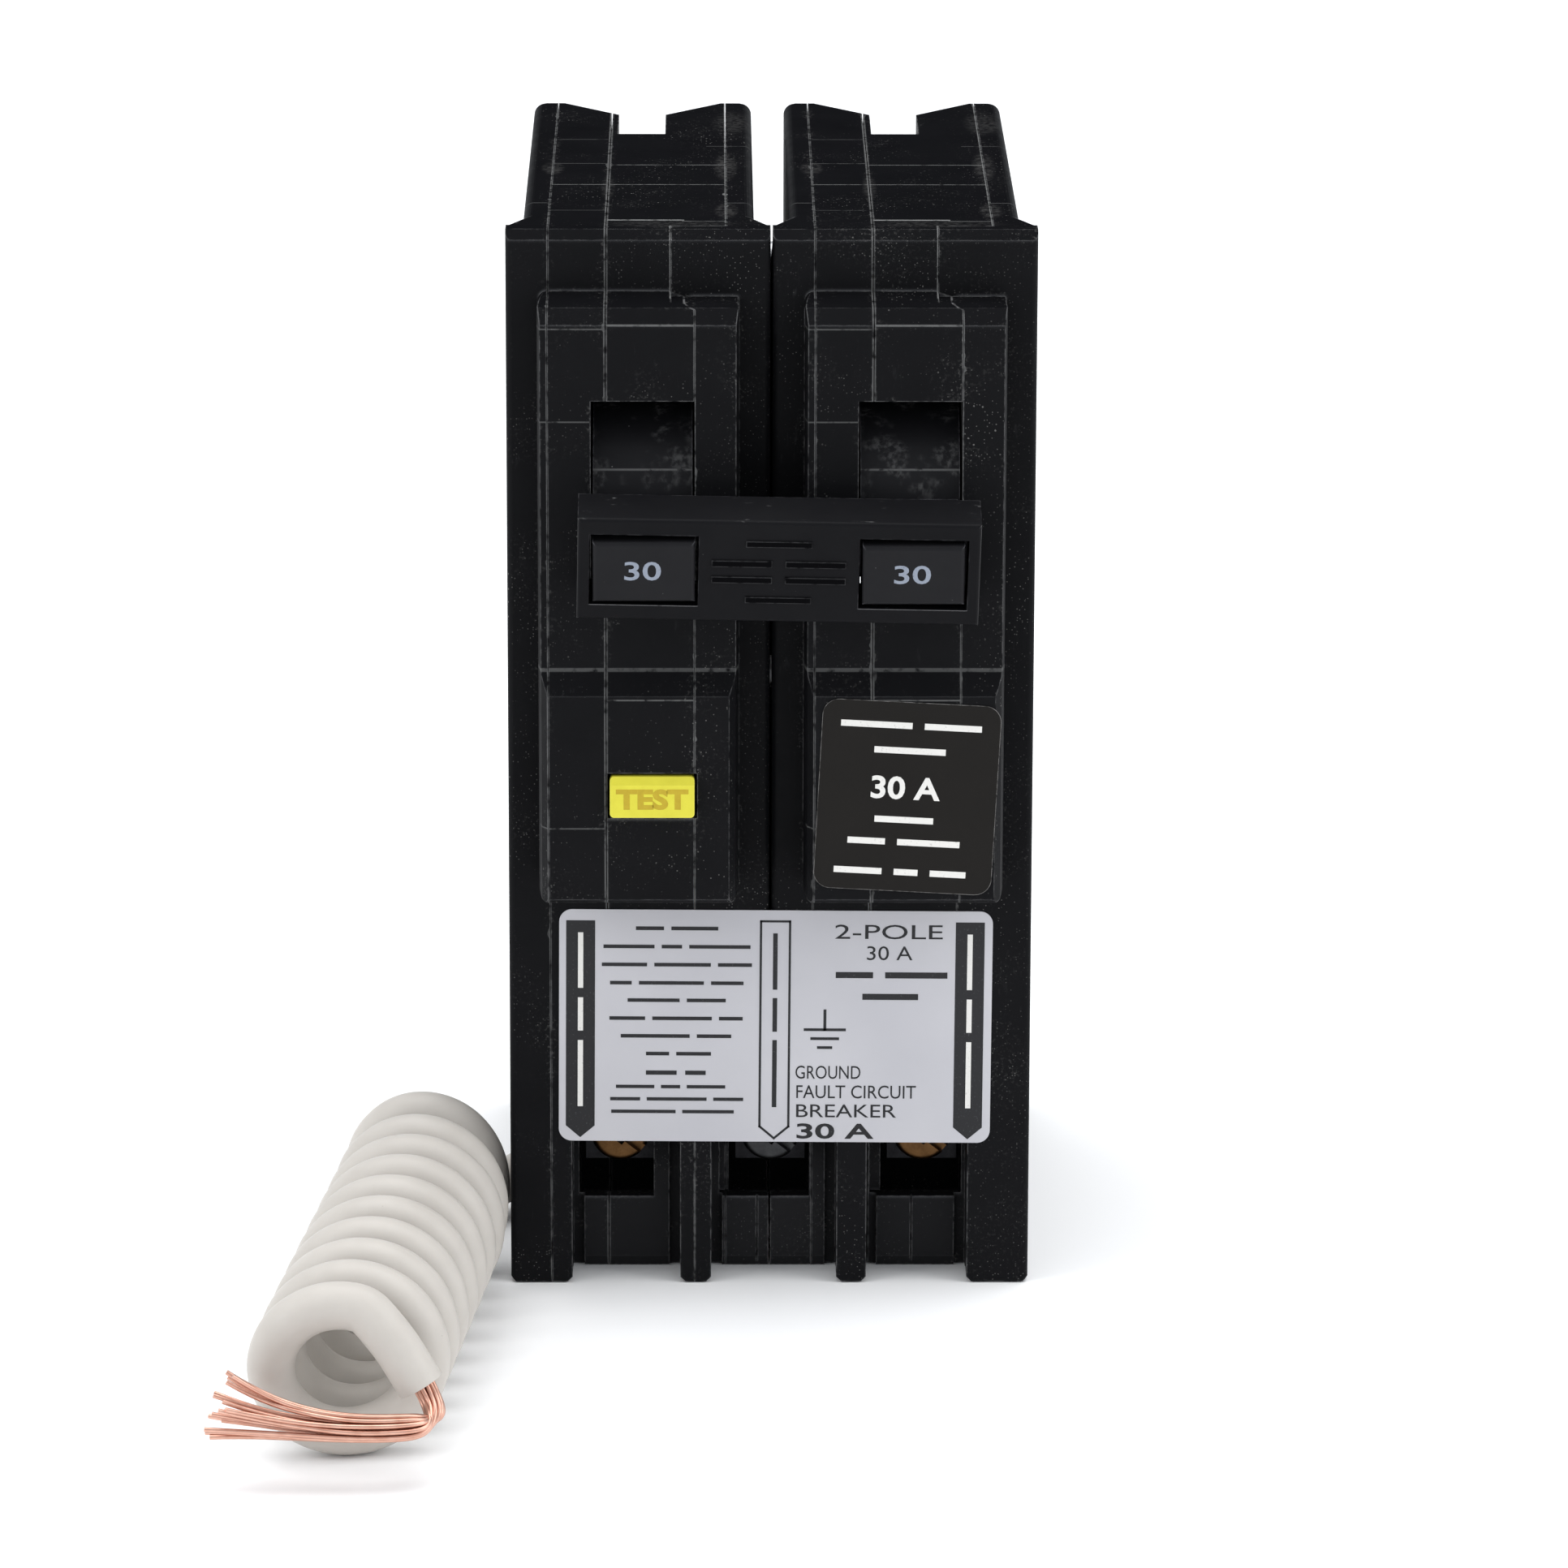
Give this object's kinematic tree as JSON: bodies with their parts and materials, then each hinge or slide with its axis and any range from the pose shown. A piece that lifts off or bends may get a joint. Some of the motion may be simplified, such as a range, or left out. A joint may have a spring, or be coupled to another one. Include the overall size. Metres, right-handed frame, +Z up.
{
  "type": "two-pole ground-fault circuit breaker",
  "caption": "Two-pole plug-on ground-fault circuit breaker with tied handles, test button, three screw terminals and a coiled neutral pigtail.",
  "frame": {"origin": "centre of the load end's footprint, on the surface that it stands on, measured without the pigtail", "axes": "+Z up along the case from the load end to the line end, -Y out of the front face with the handles, +X to the right of someone facing the handles"},
  "size_m": [0.0757, 0.1243, 0.1056],
  "materials": {
    "case_plastic": "moulded, slightly dusty",
    "handle_plastic": "moulded, worn",
    "tie_plastic": "moulded, worn edges",
    "yellow_plastic": "bright moulded",
    "copper": "plain copper",
    "jaw_copper": "tinned copper alloy",
    "silver_contact": "satin",
    "plain_steel": "zinc plated",
    "spring_steel": "drawn wire",
    "brass_screw": "plated, rubbed",
    "neutral_screw": "plated, dull",
    "tinned_lug": "satin",
    "fibre": "vulcanised fibre",
    "board": "coated laminate",
    "core": "coated ring core",
    "winding": "enamelled wire",
    "bobbin": "moulded",
    "label_film": "silver-grey film",
    "dark_film": "dark printed film",
    "white_insulation": "satin vinyl",
    "bare_copper": "bright strands",
    "grommet": "satin",
    "rivet": "zinc plated"
  },
  "bodies": {
    "case": {"left_pole_side_cover": "case_plastic", "left_pole_outer_case": "case_plastic", "left_pole_inner_case": "case_plastic", "left_pole_mechanism_cover": "case_plastic", "left_pole_fixed_contact": "copper", "left_pole_line_jaw": "jaw_copper", "left_pole_arc_chute": "fibre", "left_pole_bimetal": "plain_steel", "left_pole_magnet_yoke": "plain_steel", "left_pole_braid": "copper", "left_pole_load_strap": "copper", "left_pole_operating_spring": "spring_steel", "left_pole_load_lug": "tinned_lug", "right_pole_side_cover": "case_plastic", "right_pole_outer_case": "case_plastic", "right_pole_inner_case": "case_plastic", "right_pole_mechanism_cover": "case_plastic", "right_pole_fixed_contact": "copper", "right_pole_line_jaw": "jaw_copper", "right_pole_arc_chute": "fibre", "right_pole_bimetal": "plain_steel", "right_pole_magnet_yoke": "plain_steel", "right_pole_braid": "copper", "right_pole_load_strap": "copper", "right_pole_operating_spring": "spring_steel", "right_pole_load_lug": "tinned_lug", "case_rivets": "rivet", "test_button_spring": "spring_steel", "test_contact": "copper", "sensor_core": "core", "sensor_winding": "winding", "circuit_board": "board", "neutral_link": "copper", "neutral_lug": "tinned_lug", "solenoid_bobbin": "bobbin", "solenoid_winding": "winding", "plunger_spring": "spring_steel", "load_label": "label_film", "rating_sticker": "dark_film", "pigtail_grommet": "grommet", "pigtail_lead": "white_insulation", "pigtail_coil": "white_insulation", "pigtail_strands": "bare_copper"},
    "handles": {"left_pole_handle": "handle_plastic", "right_pole_handle": "handle_plastic", "handle_tie": "tie_plastic"},
    "left_contact": {"left_pole_contact_arm": "copper", "left_pole_moving_contact": "silver_contact"},
    "right_contact": {"right_pole_contact_arm": "copper", "right_pole_moving_contact": "silver_contact"},
    "left_trip_lever": {"left_pole_cradle": "plain_steel"},
    "right_trip_lever": {"right_pole_cradle": "plain_steel"},
    "left_armature": {"left_pole_armature": "plain_steel"},
    "right_armature": {"right_pole_armature": "plain_steel"},
    "common_trip_bar": {"trip_bar": "bobbin"},
    "plunger": {"solenoid_plunger": "plain_steel"},
    "button": {"test_button": "yellow_plastic"},
    "left_screw": {"left_pole_load_screw": "brass_screw"},
    "centre_screw": {"neutral_screw": "neutral_screw"},
    "right_screw": {"right_pole_load_screw": "brass_screw"}
  },
  "joints": [
    {"name": "handle_throw", "type": "hinge", "parent": "case", "child": "handles", "pos_m": [0, -0.0198, 0.0789], "axis": [-1, 0, 0], "range_deg": [0, 30]},
    {"name": "left_contact_close", "type": "hinge", "parent": "case", "child": "left_contact", "pos_m": [-0.0126, -0.0058, 0.066], "axis": [1, 0, 0], "range_deg": [0, 12.5]},
    {"name": "right_contact_close", "type": "hinge", "parent": "case", "child": "right_contact", "pos_m": [0.0127, -0.0058, 0.066], "axis": [1, 0, 0], "range_deg": [0, 12.5]},
    {"name": "left_lever_release", "type": "hinge", "parent": "case", "child": "left_trip_lever", "pos_m": [-0.0102, 0.0202, 0.064], "axis": [-1, 0, 0], "range_deg": [0, 12]},
    {"name": "right_lever_release", "type": "hinge", "parent": "case", "child": "right_trip_lever", "pos_m": [0.0151, 0.0202, 0.064], "axis": [-1, 0, 0], "range_deg": [0, 12]},
    {"name": "left_armature_pull", "type": "hinge", "parent": "case", "child": "left_armature", "pos_m": [-0.0127, 0.0132, 0.052], "axis": [1, 0, 0], "range_deg": [0, 3]},
    {"name": "right_armature_pull", "type": "hinge", "parent": "case", "child": "right_armature", "pos_m": [0.0126, 0.0132, 0.052], "axis": [1, 0, 0], "range_deg": [0, 3]},
    {"name": "plunger_pull", "type": "slide", "parent": "case", "child": "plunger", "axis": [0, 0, -1], "range_m": [0, 0.0015], "stiffness_N_per_m": 150, "springref_m": -0.002, "deforming": ["plunger_spring"]},
    {"name": "trip_bar_turn", "type": "hinge", "parent": "case", "child": "common_trip_bar", "pos_m": [0, 0.0022, 0.057], "axis": [1, 0, 0], "range_deg": [0, 8]},
    {"name": "test_button_press", "type": "slide", "parent": "case", "child": "button", "axis": [0, 1, 0], "range_m": [0, 0.0012], "stiffness_N_per_m": 500, "springref_m": -0.001, "deforming": ["test_button_spring"]},
    {"name": "left_screw_turn", "type": "hinge", "parent": "case", "child": "left_screw", "pos_m": [-0.0146, -0.0148, 0.013], "axis": [0, -1, 0], "continuous": true},
    {"name": "centre_screw_turn", "type": "hinge", "parent": "case", "child": "centre_screw", "pos_m": [0.0001, -0.0148, 0.013], "axis": [0, -1, 0], "continuous": true},
    {"name": "right_screw_turn", "type": "hinge", "parent": "case", "child": "right_screw", "pos_m": [0.015, -0.0148, 0.013], "axis": [0, -1, 0], "continuous": true}
  ],
  "couplings": [
    {"joint": "left_contact_close", "follows": "handle_throw", "ratio": 0.41667},
    {"joint": "right_contact_close", "follows": "handle_throw", "ratio": 0.41667},
    {"joint": "left_lever_release", "follows": "plunger_pull", "rad_per_m": 139.62},
    {"joint": "right_lever_release", "follows": "plunger_pull", "rad_per_m": 139.62},
    {"joint": "trip_bar_turn", "follows": "plunger_pull", "rad_per_m": 93.08}
  ]
}
